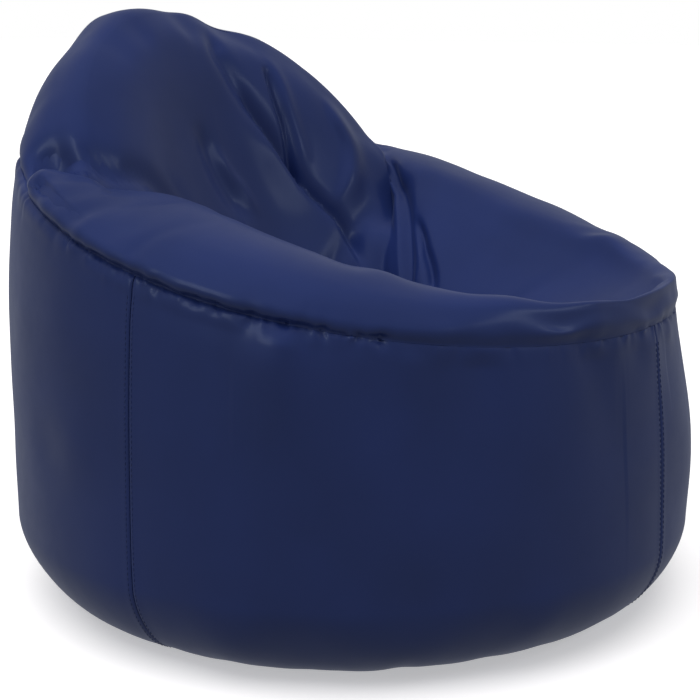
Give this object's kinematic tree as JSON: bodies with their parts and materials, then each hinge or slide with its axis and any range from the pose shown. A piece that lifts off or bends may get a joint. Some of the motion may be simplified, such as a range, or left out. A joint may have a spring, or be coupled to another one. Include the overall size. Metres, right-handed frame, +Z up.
{
  "type": "bean bag chair",
  "caption": "Round bucket-shaped bean bag chair in faux leather with low arms, a deep seat hollow, a raised backrest, a zipped cover and a zipped inner bead liner.",
  "frame": {"origin": "on the floor, under the middle of the base", "axes": "the sitter faces -Y, the backrest is at +Y, +X is the sitter's left, +Z up"},
  "size_m": [0.8994, 0.8994, 0.7572],
  "materials": {
    "cover": "satin coated faux leather with a fine grain",
    "liner": "plain woven polyester",
    "zip_tape": "woven herringbone tape",
    "zip_coil": "nylon coil",
    "zip_metal": "die-cast, nickel plated",
    "liner_zip_tape": "woven herringbone tape",
    "liner_zip_coil": "nylon coil",
    "label": "blank satin ribbon",
    "beads": "expanded polystyrene beads"
  },
  "bodies": {
    "bag": {"front_left_wall_panel": "cover", "front_right_wall_panel": "cover", "back_left_wall_panel": "cover", "back_right_wall_panel": "cover", "top_panel": "cover", "base_panel_front": "cover", "base_panel_back": "cover", "liner_wall_left": "liner", "liner_wall_right": "liner", "liner_top": "liner", "liner_base_left": "liner", "liner_base_right": "liner", "zip_tape_front": "zip_tape", "zip_tape_back": "zip_tape", "zip_coil_front": "zip_coil", "zip_coil_back": "zip_coil", "zip_top_stops": "zip_metal", "zip_bottom_stop": "zip_metal", "liner_zip_tape_left": "liner_zip_tape", "liner_zip_tape_right": "liner_zip_tape", "liner_zip_coil_left": "liner_zip_coil", "liner_zip_coil_right": "liner_zip_coil", "liner_zip_top_stops": "zip_metal", "liner_zip_bottom_stop": "zip_metal", "care_label": "label", "bead_fill": "beads"},
    "zip_slider": {"zip_slider": "zip_metal"},
    "liner_zip_slider": {"liner_zip_slider": "zip_metal"}
  },
  "joints": [
    {"name": "zip_slide", "type": "slide", "parent": "bag", "child": "zip_slider", "axis": [-1, 0, 0], "range_m": [0, 0.475]},
    {"name": "liner_zip_slide", "type": "slide", "parent": "bag", "child": "liner_zip_slider", "axis": [0, -1, 0], "range_m": [0, 0.475]}
  ]
}
